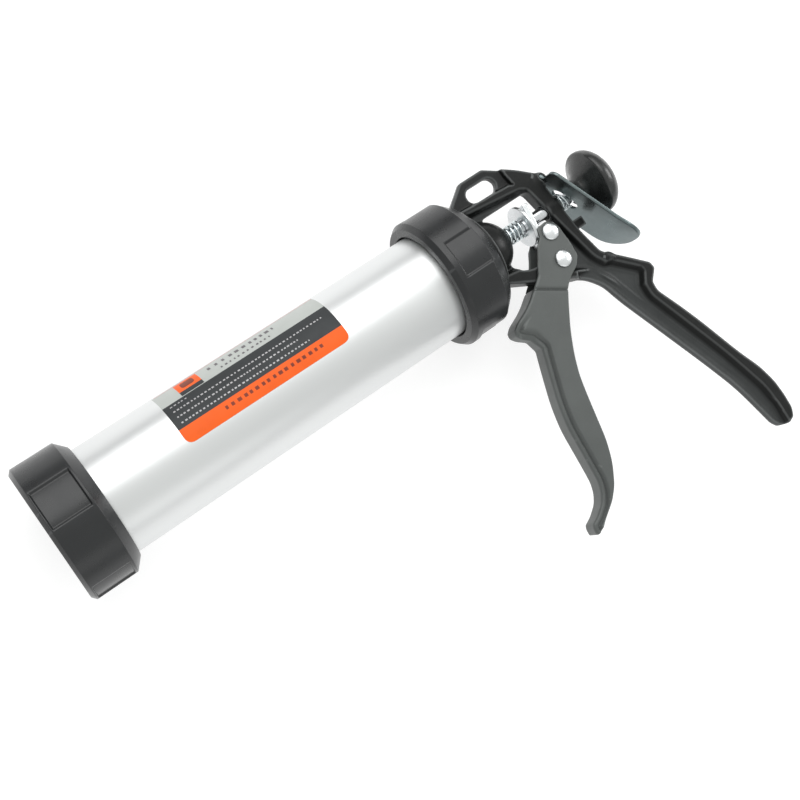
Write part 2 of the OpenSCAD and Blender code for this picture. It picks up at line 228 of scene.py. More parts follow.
MATS = {
    "black_plastic": shader("black_plastic", (0.0125, 0.0135, 0.0145), 0.29, vary=0.15,
                            vary_scale=55, rough_vary=0.035, bump=0.1, bump_scale=1600, wear=0.5),
    "rubber_black": shader("rubber_black", (0.025, 0.025, 0.025), 0.75, vary=0.15, bump=0.3),
    "satin_aluminium": shader("satin_aluminium", (0.74, 0.75, 0.75), 0.40, metallic=0.9,
                              vary=0.012, vary_scale=22, rough_vary=0.03, bump=0.05,
                              bump_scale=1500, stretch=(0.12, 1, 1)),
    "black_casting": shader("black_casting", (0.030, 0.0325, 0.0325), 0.36, specular=0.24,
                            vary=0.15, vary_scale=70, rough_vary=0.06, bump=0.3, bump_scale=750,
                            coat=0.04, coat_roughness=0.25, wear=0.75,
                            # painted shade: the rims' colour
                            painted_rim_shade=(0.0045, 0.0052, 0.005), sharp=(0.507, 0.54)),
    "grey_paint": shader("grey_paint", (0.094, 0.101, 0.098), 0.42, metallic=0.35, vary=0.07,
                         vary_scale=45, rough_vary=0.04, bump=0.2, bump_scale=1300, wear=0.15),
    "bright_zinc": shader("bright_zinc", (0.80, 0.82, 0.83), 0.30, metallic=1.0, vary=0.05,
                          vary_scale=160, rough_vary=0.06, bump=0.1, bump_scale=700),
    "blue_zinc": shader("blue_zinc", (0.145, 0.178, 0.182), 0.30, metallic=1.0, vary=0.08,
                        vary_scale=70, rough_vary=0.05, bump=0.12, bump_scale=700,
                        second=(0.20, 0.225, 0.222)),
    "spring_steel": shader("spring_steel", (0.74, 0.80, 0.81), 0.2, metallic=1.0, vary=0.05,
                           vary_scale=220, bump=0.05, bump_scale=900),
    "bright_rod": shader("bright_rod", (0.72, 0.74, 0.76), 0.16, metallic=1.0, vary=0.04,
                         vary_scale=120, rough_vary=0.04, bump=0.06, bump_scale=900,
                         stretch=(0.15, 1, 1)),
    "knob_plastic": shader("knob_plastic", (0.014, 0.0148, 0.0145), 0.27, vary=0.4, specular=0.6,
                           vary_scale=110, rough_vary=0.12, bump=0.25, bump_scale=300, wear=0.2),
    "brass_insert": shader("brass_insert", (0.78, 0.57, 0.25), 0.3, metallic=1.0, vary=0.08),
    "white_plastic": shader("white_plastic", (0.80, 0.79, 0.74), 0.45, vary=0.04, bump=0.1),
}
LABEL = {
    "label_light": shader("label_light", (0.42, 0.44, 0.42), 0.38, vary=0.03, vary_scale=120,
                          bump=0.08),
    "label_dark": shader("label_dark", (0.030, 0.033, 0.035), 0.5, specular=0.3, vary=0.1,
                         vary_scale=120, bump=0.08),
    "label_orange": shader("label_orange", (0.80, 0.112, 0.012), 0.45, specular=0.2, vary=0.05,
                           vary_scale=120, bump=0.08),
    "label_warm_ink": shader("label_warm_ink", (0.20, 0.04, 0.02), 0.45, specular=0.2, vary=0.1,
                             bump=0.05),
    "label_ink": shader("label_ink", (0.10, 0.09, 0.10), 0.4, vary=0.1, bump=0.05),
    "label_pale_ink": shader("label_pale_ink", (0.42, 0.41, 0.42), 0.4, vary=0.1, bump=0.05),
    "label_red_line": shader("label_red_line", (0.45, 0.16, 0.15), 0.4, vary=0.1, bump=0.05),
}


# ---------------------------------------------------------------- mesh helpers

def finish_piece(name, mesh, node=None, body=None, material=None, replace=True):
    obj = bpy.data.objects.new(name, mesh)
    bpy.context.scene.collection.objects.link(obj)
    slot = SLOT_OF[node]
    mesh.materials.append(material or MATS[slot])
    mesh.shade_smooth()
    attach(obj, body or BODY_OF[node])
    if replace:
        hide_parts(node)
    return obj


def mesh_from(name, verts, faces):
    mesh = bpy.data.meshes.new(name)
    mesh.from_pydata([tuple(v) for v in verts], [], [tuple(int(i) for i in f) for f in faces])
    return mesh


def clean(mesh, merge=1e-6):
    bm = bmesh.new()
    bm.from_mesh(mesh)
    bmesh.ops.remove_doubles(bm, verts=bm.verts, dist=merge)
    bmesh.ops.dissolve_degenerate(bm, edges=bm.edges, dist=merge / 2)
    bmesh.ops.recalc_face_normals(bm, faces=bm.faces)
    bm.to_mesh(mesh)
    bm.free()
    return mesh


def soften(points, radius, steps=4, closed=True):
    """Rounds the corners of an outline, and turns its gentle bends into curves."""
    points = [np.array(p, float) for p in points]
    out = []
    for i, corner in enumerate(points):
        if not closed and i in (0, len(points) - 1):
            out.append(corner)
            continue
        a = points[i - 1] - corner
        b = points[(i + 1) % len(points)] - corner
        la, lb = np.linalg.norm(a), np.linalg.norm(b)
        angle = math.acos(max(-1, min(1, float(a @ b) / (la * lb))))
        cut = radius / math.tan(angle / 2)
        if angle > math.radians(150):
            cut = 0.4 * min(la, lb)
        cut = min(cut, 0.45 * la, 0.45 * lb)
        start, end = corner + a / la * cut, corner + b / lb * cut
        for s in np.linspace(0, 1, steps + 1):
            out.append((1 - s) ** 2 * start + 2 * s * (1 - s) * corner + s * s * end)
    return out


def lathe(name, profile, segments=144, axis="x", at=(0, 0, 0), radius=0.4, closed=True, shape=None):
    """Turns a profile of (along, radius) points in mm about an axis. shape changes its radius."""
    outline = soften(profile, radius, closed=closed) if radius else [np.array(p) for p in profile]
    outline = np.array(outline)
    turns = np.linspace(0, 2 * math.pi, segments, endpoint=False)
    along = np.repeat(outline[:, :1], segments, 1)
    r = np.repeat(outline[:, 1:], segments, 1)
    theta = np.repeat(turns[None], len(outline), 0)
    if shape:
        r = shape(along, r, theta)
    around = (r * np.cos(theta), r * np.sin(theta))
    order = {"x": (along, *around), "z": (*around, along)}[axis]
    verts = np.stack(order, -1).reshape(-1, 3) * MM + np.array(at)
    count = len(outline)
    faces = []
    for i in range(count if closed else count - 1):
        k = (i + 1) % count
        for j in range(segments):
            n = (j + 1) % segments
            faces.append((i * segments + j, i * segments + n, k * segments + n, k * segments + j))
    return clean(mesh_from(name, verts, faces))


def sweep(name, path, wire, sides=14):
    """A round wire along a path of points, in mm, with closed ends."""
    path = np.array(path)
    tangent = np.gradient(path, axis=0)
    tangent /= np.linalg.norm(tangent, axis=1)[:, None]
    verts, faces = [], []
    for p, t in zip(path, tangent):
        out = np.array([0, p[1], p[2]])
        out -= t * (out @ t)
        out /= np.linalg.norm(out)
        side = np.cross(t, out)
        for k in range(sides):
            a = 2 * math.pi * k / sides
            verts.append((p + wire * (math.cos(a) * out + math.sin(a) * side)) * MM)
    for i in range(len(path) - 1):
        for k in range(sides):
            n = (k + 1) % sides
            faces.append((i * sides + k, i * sides + n, (i + 1) * sides + n, (i + 1) * sides + k))
    faces.append(tuple(range(sides)))
    faces.append(tuple((len(path) - 1) * sides + k for k in range(sides)))
    return clean(mesh_from(name, verts, faces))


# ---------------------------------------------------------------- solids from distance fields

def outline_distance(px, py, points):
    """Signed distance to a closed outline, below zero inside."""
    best = np.full(px.shape, 1e9)
    inside = np.zeros(px.shape, bool)
    for (ax, ay), (bx, by) in zip(points, points[1:] + points[:1]):
        ex, ey, wx, wy = bx - ax, by - ay, px - ax, py - ay
        t = np.clip((wx * ex + wy * ey) / (ex * ex + ey * ey + 1e-12), 0, 1)
        best = np.minimum(best, (wx - ex * t) ** 2 + (wy - ey * t) ** 2)
        if abs(ey) > 1e-9:
            inside ^= ((ay > py) != (by > py)) & (px < ex * wy / ey + ax)
    distance = np.sqrt(best)
    return np.where(inside, -distance, distance)


def both(a, b, r):
    """Where two fields are both inside, with a rounded edge of radius r."""
    if r == 0:
        return np.maximum(a, b)
    a, b = a + r, b + r
    return np.minimum(np.maximum(a, b), 0) + np.hypot(np.maximum(a, 0), np.maximum(b, 0)) - r


def either(a, b, r):
    """Where either field is inside, with a fillet of radius r."""
    return -both(-a, -b, r)


def ease(value, low, high):
    """0 up to low, 1 from high, and a smooth rise between them."""
    t = np.clip((value - low) / (high - low), 0, 1)
    return t * t * (3 - 2 * t)


def sample(field, at):
    """The field's value between its grid points."""
    base = np.clip(np.floor(at).astype(int), 0, np.array(field.shape) - 2)
    t = at - base
    value = np.zeros(len(at))
    for corner in np.ndindex(2, 2, 2):
        weight = np.prod(np.where(corner, t, 1 - t), axis=1)
        value += weight * field[tuple((base + corner).T)]
    return value


def solid(name, low, high, step, make):
    """The mesh of make(d, y, z), a distance field in mm in side-view places."""
    axes = [np.arange(a, b + step, step) for a, b in zip(low, high)]
    d, y, z = np.meshgrid(*axes, indexing="ij", sparse=True)
    field = np.ascontiguousarray(make(d, y, z), dtype=np.float32)
    inside = field < 0
    size = np.array(field.shape) - 1
    count = np.zeros(size, np.int8)
    for i, j, k in np.ndindex(2, 2, 2):
        count += inside[i:i + size[0], j:j + size[1], k:k + size[2]]
    cells = np.argwhere((count > 0) & (count < 8))
    index = np.full(size, -1, np.int32)
    index[tuple(cells.T)] = np.arange(len(cells))
    total, hits = np.zeros((len(cells), 3)), np.zeros(len(cells))
    for corner in np.ndindex(2, 2, 2):
        for axis in range(3):
            if corner[axis]:
                continue
            other = np.array(corner)
            other[axis] = 1
            fa, fb = field[tuple((cells + corner).T)], field[tuple((cells + other).T)]
            cross = (fa < 0) != (fb < 0)
            t = np.where(cross, fa / np.where(cross, fa - fb, 1), 0)
            point = np.array(corner)[None] + t[:, None] * (other - np.array(corner))[None]
            total += np.where(cross[:, None], point, 0)
            hits += cross
    verts = cells + total / hits[:, None]
    quads = []
    for axis in range(3):
        b, c = (axis + 1) % 3, (axis + 2) % 3
        near = np.take(inside, range(size[axis]), axis)
        far = np.take(inside, range(1, size[axis] + 1), axis)
        edge = np.argwhere(near != far)
        at_b, at_c = edge[:, b], edge[:, c]
        edge = edge[(at_b > 0) & (at_c > 0) & (at_b < size[b]) & (at_c < size[c])]
        eb, ec = np.eye(3, dtype=int)[b], np.eye(3, dtype=int)[c]
        ring = np.stack([index[tuple((edge - s).T)] for s in (0 * eb, eb, eb + ec, ec)], 1)
        keep_order = near[tuple(edge.T)]
        # the side view is mirrored into the row frame, so the faces turn over
        quads.append(np.where(keep_order[:, None], ring[:, ::-1], ring))
    quads = np.concatenate(quads)
    for _ in range(2):
        value = sample(field, verts)
        slope = np.stack([sample(field, verts + 0.4 * e) - sample(field, verts - 0.4 * e)
                          for e in np.eye(3)], 1) / 0.8
        push = value[:, None] * slope / np.maximum((slope ** 2).sum(1), 0.05)[:, None]
        verts = verts - np.clip(push, -0.4, 0.4)
    place = verts * step + np.array(low)
    place[:, 0] = -(BODY_AT + place[:, 0])
    return mesh_from(name, place * MM, quads)


# ---------------------------------------------------------------- sizes shared by the pieces
# Side-view places are (d, y) in mm: d runs back from BODY_AT, the frame's front flange.
BODY_AT = -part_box("frame")[1].x / MM + 2
FRAME_H = 5.0           # half heights of the casting's rims, web and lug
WEB_H = 1.6
LUG_H = 2.4
RIB_W = 3.3
REAR_WALL = 58.6        # back face of the wall that the release spring sits on
NOSE_END = 24.7         # back face of the domed guide that the drive spring sits on
PIVOT = (42.0, 24.1)
DRIVE_PIN = (44.3, 9.6)
PIN_R = 3.0
HINGE = (57.8, -15.6)
LEAN = math.radians(24)
TRIGGER_HALF = 7.0      # half width of the trigger's channel, and its sheet
SHEET = 1.6
TUBE_BORE = 26.8        # bore of the caps over the 26.5 mm tube
TUBE_R = 26.5
PER_DEGREE = math.pi * TUBE_R / 180


# ---------------------------------------------------------------- caps, tube and label

def recessed(first, front, back, depth, outer):
    """Radius of a cap's side with four grip recesses, 34 degrees wide."""
    def shape(along, r, theta):
        degrees = (np.degrees(theta) - first) % 90
        around = ease(degrees, 0, 1.5) * (1 - ease(degrees, 32.5, 34))
        length = ease(-along, -front, -front + 0.8) * (1 - ease(-along, -back - 0.8, -back))
        return r - np.maximum(0, r - outer + depth) * around * length
    return shape


def side_points(outer, start, end, step=0.45):
    """A straight side in short steps, so that the recesses have points to move."""
    count = max(2, int(abs(end - start) / step))
    return [(x, outer) for x in np.linspace(start, end, count)]


def build_caps():
    low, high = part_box("front_cap")
    outer, length, bore, hole = high.y / MM, -low.x / MM, TUBE_BORE, 15.0
    profile = [(-5, hole), (0, hole), (0, 18.5), (-0.7, 19.2), (-0.7, outer - 6.4),
               (0, outer - 5.7), (0, outer - 2.2), (-1.8, outer)]
    profile += side_points(outer, -2.1, -length + 5.2)
    profile += [(-length + 4.7, outer), (-length, outer - 5.2), (-length, bore + 0.02),
                (-5, bore + 0.02)]
    mesh = lathe("front_cap", profile, 480, radius=0.5,
                 shape=recessed(0, -2.2, -length + 5.6, 1.1, outer))
    finish_piece("cap_front", mesh, "front_cap")

    low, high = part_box("rear_ring")
    front, back = high.x / MM, low.x / MM
    profile = [(front, bore + 0.8), (front, outer - 2), (front - 2.5, outer)]
    profile += side_points(outer, front - 3, back + 7)
    profile += [(back + 6.5 - 0.5 * i, outer - 0.423 * i) for i in range(10)]
    profile += [(back, outer - 5.5), (back, 21.8), (-BODY_AT - 2.2, 21.8),
                (-BODY_AT - 2.2, bore), (front - 1.5, bore)]
    mesh = lathe("rear_ring", profile, 480, radius=0.5,
                 shape=recessed(-12, front - 5.5, back + 3, 1.1, outer))
    finish_piece("ring_rear", mesh, "rear_ring")


def build_tube():
    low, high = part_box("barrel_tube")
    outer = high.y / MM
    inner = outer - 1.5
    a, b = high.x / MM, low.x / MM
    profile = [(a, inner), (a, outer), (b, outer), (b, inner)]
    finish_piece("tube", lathe("tube", profile, 256, radius=0.3), "barrel_tube")
    low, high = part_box("front_gasket")
    profile = [(high.x / MM, 22), (high.x / MM, TUBE_R), (low.x / MM, TUBE_R), (low.x / MM, 22)]
    finish_piece("gasket", lathe("gasket", profile, 128, radius=0.4), "front_gasket")


def decal(name, outline, radius, material, thick=0.03):
    """A thin printed area on the tube. Its outline is in (x mm, degrees around the tube)."""
    bm = bmesh.new()
    scale = PER_DEGREE
    verts = [bm.verts.new((x, a * scale, 0)) for x, a in outline]
    bm.faces.new(verts)
    bmesh.ops.triangulate(bm, faces=bm.faces[:])
    low, high = min(a for _, a in outline), max(a for _, a in outline)
    for cut in np.arange(math.ceil(low / 2) * 2, high, 2):
        geometry = bm.verts[:] + bm.edges[:] + bm.faces[:]
        bmesh.ops.bisect_plane(bm, geom=geometry, plane_co=(0, cut * scale, 0), plane_no=(0, 1, 0),
                               dist=1e-5)
    top = bmesh.ops.extrude_face_region(bm, geom=bm.faces[:])
    for v in top["geom"]:
        if isinstance(v, bmesh.types.BMVert):
            v.co.z += thick
    for v in bm.verts:
        angle = v.co.y / scale * math.pi / 180
        r = radius + v.co.z
        v.co = Vector((v.co.x, r * math.cos(angle), r * math.sin(angle))) * MM
    bmesh.ops.recalc_face_normals(bm, faces=bm.faces[:])
    mesh = bpy.data.meshes.new(name)
    bm.to_mesh(mesh)
    bm.free()
    obj = finish_piece(name, mesh, "barrel_label", material=material, replace=False)
    mesh.shade_flat()
    return obj


def box_outline(x0, x1, a0, a1, corner=0.0, which=(0, 1, 2, 3)):
    scale = PER_DEGREE
    corners = [(x0, a0 * scale), (x1, a0 * scale), (x1, a1 * scale), (x0, a1 * scale)]
    if not corner:
        return [(x, s / scale) for x, s in corners]
    out = []
    for i, p in enumerate(corners):
        if i in which:
            a = np.array(corners[i - 1]) - p
            b = np.array(corners[(i + 1) % 4]) - p
            start = np.array(p) + a / np.linalg.norm(a) * corner
            end = np.array(p) + b / np.linalg.norm(b) * corner
            out += [(1 - s) ** 2 * start + 2 * s * (1 - s) * np.array(p) + s * s * end
                    for s in np.linspace(0, 1, 7)]
        else:
            out.append(np.array(p))
    return [(float(p[0]), float(p[1]) / scale) for p in out]


def build_label():
    """The printed film, as bands, a badge and rules just above it."""
    low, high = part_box("barrel_label")
    back, front = low.x / MM, high.x / MM
    first = decal("label_base", box_outline(back, front, 88, 163.5, 4, (0, 1)), 26.51,
                  LABEL["label_light"], 0.02)
    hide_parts("barrel_label")
    decal("label_orange_band", box_outline(back, front, 88.2, 105, 4, (0, 1)), 26.535,
          LABEL["label_orange"])
    decal("label_dark_band", box_outline(back, front, 104.6, 134), 26.54, LABEL["label_dark"])
    decal("label_top_line", box_outline(back, front - 1, 162.2, 163.3), 26.535,
          LABEL["label_red_line"])
    decal("label_badge", box_outline(front - 22, front - 10.5, 141, 160), 26.535,
          LABEL["label_orange"])
    decal("label_badge_strip", box_outline(front - 22, front - 10.5, 135, 141), 26.54,
          LABEL["label_dark"])
    decal("label_badge_ring", box_outline(front - 19.5, front - 13, 145, 156, 1.6), 26.57,
          LABEL["label_warm_ink"], 0.02)
    # plain rules stand in for the printed lines, which say nothing
    random = np.random.RandomState(7)
    rows = [(98.2, 3.6, front - 74, front - 22, "label_warm_ink", 1.2),
            (109.5, 1.5, front - 70, front - 3, "label_pale_ink", 0.7),
            (116.5, 1.5, front - 66, front - 3, "label_pale_ink", 0.7),
            (123.5, 1.5, front - 81, front - 3, "label_pale_ink", 0.7),
            (130.0, 1.2, front - 12, front - 3, "label_pale_ink", 0.7),
            (150.5, 5.0, front - 62, front - 27, "label_ink", 1.6),
            (140.5, 2.6, front - 58, front - 32, "label_ink", 1.0)]
    for row, (angle, height, start, end, ink, gap) in enumerate(rows):
        bm_parts = []
        x = end
        while x > start:
            length = random.uniform(0.7, 1.2) * (1.7 if height > 3 else 1.0)
            bm_parts.append((max(start, x - length), x))
            x -= length + gap * random.uniform(0.9, 1.6)
        rules(f"label_rules_{row}", bm_parts, angle, height, LABEL[ink])


def rules(name, spans, angle, height, material):
    """A row of small printed bars, one for each (start, end) of spans."""
    verts, faces = [], []
    for x0, x1 in spans:
        base = len(verts)
        for r in (26.56, 26.585):
            for a in (angle - height / 2, angle, angle + height / 2):
                t = math.radians(a)
                for x in (x0, x1):
                    verts.append(Vector((x, r * math.cos(t), r * math.sin(t))) * MM)
        lower, upper = [base + i for i in range(6)], [base + 6 + i for i in range(6)]
        for side in (lower, upper):
            faces += [(side[0], side[1], side[3], side[2]), (side[2], side[3], side[5], side[4])]
        rim = [0, 1, 3, 5, 4, 2]
        for i, p in enumerate(rim):
            q = rim[(i + 1) % 6]
            faces.append((lower[p], lower[q], upper[q], upper[p]))
    mesh = mesh_from(name, verts, faces)
    bm = bmesh.new()
    bm.from_mesh(mesh)
    bmesh.ops.recalc_face_normals(bm, faces=bm.faces[:])
    bm.to_mesh(mesh)
    bm.free()
    finish_piece(name, mesh, "barrel_label", material=material, replace=False)
    mesh.shade_flat()


# ---------------------------------------------------------------- frame

FRAME_OUTLINE = soften([
    (9, -26.6), (17.2, -32.4), (19.9, -34.4), (33.8, -34.5), (40, -30.6), (48, -25.4),
    (57.4, -17.6), (56.9, -11), (58.3, 4.7), (59.2, 17), (62.3, 30.8), (64.2, 33),
    (74.1, 42.1), (82, 49.8), (82.6, 53.4), (77.3, 58.8), (76.9, 63.6),
    (82.5, 76.2), (87.3, 88.2), (96.2, 113.3), (101.3, 125.1), (103.8, 135.5), (104.2, 144),
    (103.8, 151.8), (101.6, 156), (97.6, 157.5), (93.5, 156), (91.4, 152.8),
    (85.9, 128), (77.8, 106.3), (65.8, 76.2), (58.7, 58.5), (55, 46.6),
    (49.3, 39.5), (42.5, 35.2), (24.9, 26.7), (13.1, 20.7), (9, 18.6)], 2.2)
POCKET = soften([
    (0, -21), (21, -18.8), (44, -16.4), (47.4, -14.4), (50, -4), (52.8, 9), (58, 31.5),
    (61.5, 37), (66, 38.4), (76.5, 49), (77, 51.5), (73, 57.6), (72.8, 64), (81.2, 86), (90.2, 110),
    (98.0, 136), (98.3, 150), (88, 160), (30, 60), (40, 20), (0, 14)], 2.5)
BEAD_ZONE = [(46, 34), (55, 36), (64, 54), (74, 80), (84, 106), (93, 130), (97.5, 145),
             (97.5, 153), (97, 170), (80, 170), (30, 60)]
LUG_ZONE = [(0, -45), (41, -45), (41.4, -26), (42.4, -20), (40, -21), (0, -23)]
WINDOW = soften([(18.8, -13.6), (47.5, -13.6), (50.3, 4), (50.8, 14), (49.5, 20.3), (26.8, 20.3),
                 (21.2, 17.8), (18.8, 12.3)], 3)


def frame_field(d, y, z):
    side_d, side_y = np.broadcast_arrays(d[..., 0], y[..., 0])
    edge = outline_distance(side_d, side_y, FRAME_OUTLINE)
    pocket = np.maximum(outline_distance(side_d, side_y, POCKET), edge + RIB_W)
    # from the rim down to the web in a broad slope with a small raised line at its foot
    height = WEB_H + (FRAME_H - WEB_H) * (1 - ease(-pocket, -0.4, 3.0))
    height = height + 0.32 * np.exp(-((pocket + 3.4) / 0.4) ** 2)
    bead = WEB_H + 0.35 * (1 - ease(np.abs(edge + 0.7), 0.35, 0.9))
    bead = bead + 0.16 * np.exp(-((edge + 2.4) / 0.3) ** 2)
    in_bead = 1 - ease(outline_distance(side_d, side_y, BEAD_ZONE), -1.5, 1.0)
    height = height * (1 - in_bead) + bead * in_bead
    in_lug = 1 - ease(outline_distance(side_d, side_y, LUG_ZONE), -0.5, 0.5)
    height = height * (1 - in_lug) + LUG_H * in_lug
    plate = both(edge[..., None], np.abs(z) - height[..., None], 0.9)
    window = outline_distance(side_d, side_y, WINDOW)[..., None]
    plate = both(plate, -window, 0.7)
    radial = np.hypot(y, z)

    def ring(from_d, to_d, radius, r=0.5):
        return both(radial - radius, np.abs(d - (from_d + to_d) / 2) - (to_d - from_d) / 2, r)

    def boss(at, radius, half, r=0.8):
        return both(np.hypot(d - at[0], y - at[1]) - radius, np.abs(z) - half + 0 * d, r)

    body = either(plate, boss(PIVOT, 7.5, 5.3), 0.8)
    nose = both(np.sqrt((d - 11.3) ** 2 + y ** 2 + z ** 2) - 14.6, np.abs(d - 16.0) - 8.7, 0.8)
    body = either(body, nose, 1.2)
    body = either(body, ring(-2, 10, 21.3, 0.8), 1.5)
    body = either(body, ring(-2, 2, 26.2, 0.4), 0.3)
    body = either(body, ring(51, REAR_WALL, 5.3), 0.6)
    body = either(body, boss((HINGE[0] - 1.2, HINGE[1] + 1), 3.8, 5.0, 1.0), 0.8)
    block = both(both(np.abs(d - 61.1) - 4.5, np.abs(y - 13.7) - 2.5, 0.5), np.abs(z) - 2.5, 0.5)
    body = either(body, block, 0.6)
    lump = np.sqrt((d - 65.3) ** 2 + (y - 36.2) ** 2 + (0.6 * z) ** 2) - 3.3
    body = either(body, lump, 1.0)
    # holes: hanging slot, pivot, rod, and the groove that the release plate swings in
    slot = np.hypot(np.maximum(np.abs(d - 27.6) - 4.5, 0), y + 25.8) - 4.0
    body = both(body, -slot, 0.7)
    body = np.maximum(body, -(np.hypot(d - PIVOT[0], y - PIVOT[1]) - PIN_R - 0.05))
    body = both(body, -(radial - 3.8 + 0 * d), 0.4)
    groove = np.hypot(d - HINGE[0], y - HINGE[1]) - 1.5
    for lean in (25.5, 20, 14):
        c, s = math.cos(math.radians(lean)), math.sin(math.radians(lean))
        along = (d - HINGE[0]) * s + (y - HINGE[1]) * c
        across = (d - HINGE[0]) * c - (y - HINGE[1]) * s
        groove = np.minimum(groove, np.maximum(np.abs(across) - 1.25, np.abs(along - 7) - 7))
    return np.maximum(body, -groove)


def build_frame():
    low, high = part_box("frame")
    mesh = solid("frame", (-4, -37, -28.5), (107, 160, 28.5), 0.5, frame_field)
    finish_piece("casting", mesh, "frame")


# ---------------------------------------------------------------- trigger

TRIGGER_OUTLINE = soften([
    (49.8, 9.6), (48.4, 6.2), (45, 4.1), (39.6, 4.6), (38.6, 6), (38, 8.7), (36.3, 10.5),
    (34, 12.2), (31.5, 16.2), (25.8, 23.8), (19.9, 28.2), (12, 33.6), (2.8, 37.4),
    (-0.2, 39.7), (-1.1, 42.3), (0.8, 45.2), (4.7, 48.4), (6.7, 54.5),
    (2, 67.6), (-2.2, 79.7), (-5.2, 92.6), (-6.7, 112.2), (-7.6, 122.2),
    (-9.4, 127.4), (-12.3, 131.6), (-17.6, 135.4), (-22, 137.3), (-23, 139.4), (-23.2, 143),
    (-20.9, 142.8), (-16.5, 139.4), (-11.5, 136.2), (-7.3, 133.3), (-2.1, 128.2),
    (3.7, 118.7), (7.5, 108.4), (12.3, 85.4), (14.7, 75.3), (18.3, 66), (23.9, 54.9), (31.9, 42.4),
    (36, 36.6), (41, 33), (46, 30.8), (49.6, 26.5), (50.2, 20)], 2)
TRIGGER_FRONT = soften([
    (30, -40), (30, 12), (25.8, 23.8), (19.9, 28.2), (12, 33.6), (2.8, 37.4),
    (-0.2, 39.7), (-1.1, 42.3), (0.8, 45.2), (4.7, 48.4), (6.7, 54.5),
    (2, 67.6), (-2.2, 79.7), (-5.2, 92.6), (-6.7, 112.2), (-7.6, 122.2),
    (-9.4, 127.4), (-12.3, 131.6), (-17.6, 135.4), (-22, 137.3), (-23, 139.4), (-23.4, 144),
    (-24, 190), (120, 190), (120, -40)], 2)
HEAD_ZONE = [(8, -10), (80, -10), (80, 53.5), (20.1, 28.5)]


def trigger_field(d, y, z):
    side_d, side_y = np.broadcast_arrays(d[..., 0], y[..., 0])
    edge = outline_distance(side_d, side_y, TRIGGER_OUTLINE)[..., None]
    front = outline_distance(side_d, side_y, TRIGGER_FRONT)[..., None]
    head = outline_distance(side_d, side_y, HEAD_ZONE)[..., None]
    # the sheet dips along a crease below the pivot, and the grip's sides stand a little lower
    below = (((side_y - 38.0) - 0.623 * (side_d - 35.2)) / 1.178)[..., None]
    dent = 0.7 * np.exp(-(below / 0.6) ** 2) + 0.3 * (1 - ease(below, -0.3, 0.9))
    # its sides step down towards the front, and in a long slope under the finger hook
    hook = np.exp(-((side_d - 2.6) ** 2 + (side_y - 48.6) ** 2) / 30)[..., None]
    step = 1.5 * (1 - hook) * (1 - ease(-front, 2.6, 4.4))
    step = step + 3.0 * hook * (1 - ease(-front, 0.8, 6.4))
    step = (step + 0.4 * np.exp(-((front + 2.8) / 0.6) ** 2)) * ease(side_y, 37, 43)[..., None]
    half = TRIGGER_HALF - dent - step
    shell = both(both(front, np.abs(z) - half, 1.6), edge, 0.35)
    hollow = TRIGGER_HALF - SHEET
    inside = both(front + SHEET, np.abs(z) - hollow + step, 1.0)
    # the ears above the crease are open at the front
    inside = np.minimum(inside, np.maximum(head, np.abs(z) - hollow))
    shell = both(shell, -inside, 0.35)
    for at in (PIVOT, DRIVE_PIN):
        shell = np.maximum(shell, -(np.hypot(d - at[0], y - at[1]) - PIN_R - 0.08))
    return shell


def build_trigger():
    mesh = solid("trigger", (-26, 1, -9), (54, 146, 9), 0.42, trigger_field)
    finish_piece("trigger_sheet", mesh, "trigger")


def build_pins():
    for node, at in (("pivot_rivet", PIVOT), ("drive_pin", DRIVE_PIN)):
        low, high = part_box(node)
        top, radius = high.z / MM, high.y / MM - at[1]
        shoulder = top - 1.7
        dome = [(shoulder + 1.7 * math.sin(a), radius * math.cos(a))
                for a in np.radians([0, 8, 18, 30, 44, 60, 76, 90])]
        profile = [(-p[0], p[1]) for p in dome[::-1]]
        profile += [(-shoulder, PIN_R), (shoulder, PIN_R)] + dome
        profile[0] = (profile[0][0], 0.0)
        profile[-1] = (profile[-1][0], 0.0)
        mesh = lathe(node, profile, 64, axis="z", at=(-(BODY_AT + at[0]) * MM, at[1] * MM, 0),
                     radius=0, closed=False)
        finish_piece(node.replace("_", "-") + "-dome", mesh, node)


# ---------------------------------------------------------------- drive and release

def build_drive():
    low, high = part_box("drive_washer")
    a, b, r = high.x / MM, low.x / MM, high.y / MM
    finish_piece("washer", lathe("washer", [(a, 3.8), (a, r), (b, r), (b, 3.8)], 128, radius=0.35),
                 "drive_washer")
    lean = math.radians(7)

    def plate(d, y, z):
        top = (37.35, 13.0)
        across = (d - top[0]) * math.cos(lean) + (y - top[1]) * math.sin(lean)
        along = -(y - top[1]) * math.cos(lean) + (d - top[0]) * math.sin(lean)
        block = both(both(np.abs(across - 1.6) - 1.6, np.abs(along - 11.15) - 11.15, 0.5),
                     np.abs(z) - 5.0, 0.5)
        return both(block, -(np.hypot(y, z) - 3.95 + 0 * d), 0.3)

    mesh = solid("drive_plate", (34, -13, -7), (47, 16, 7), 0.25, plate)
    finish_piece("grip_plate", mesh, "drive_plate")

    start, end, turns, radius, wire = NOSE_END + 0.65, 35.7 - 0.65, 4, 4.5, 0.6
    path = []
    for i in range(turns * 28 + 1):
        s = i / (turns * 28)
        a = 2 * math.pi * turns * s
        along = start + (end - start) * s
        path.append((-(BODY_AT + along), radius * math.cos(a), radius * math.sin(a)))
    # the coil gets a mesh of its own; a spring shortens as its joint moves, and its wire with it,
    # which this script does not do
    coil = finish_piece("drive_coil", sweep("drive_coil", path, wire), "drive_spring")
    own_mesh(coil)


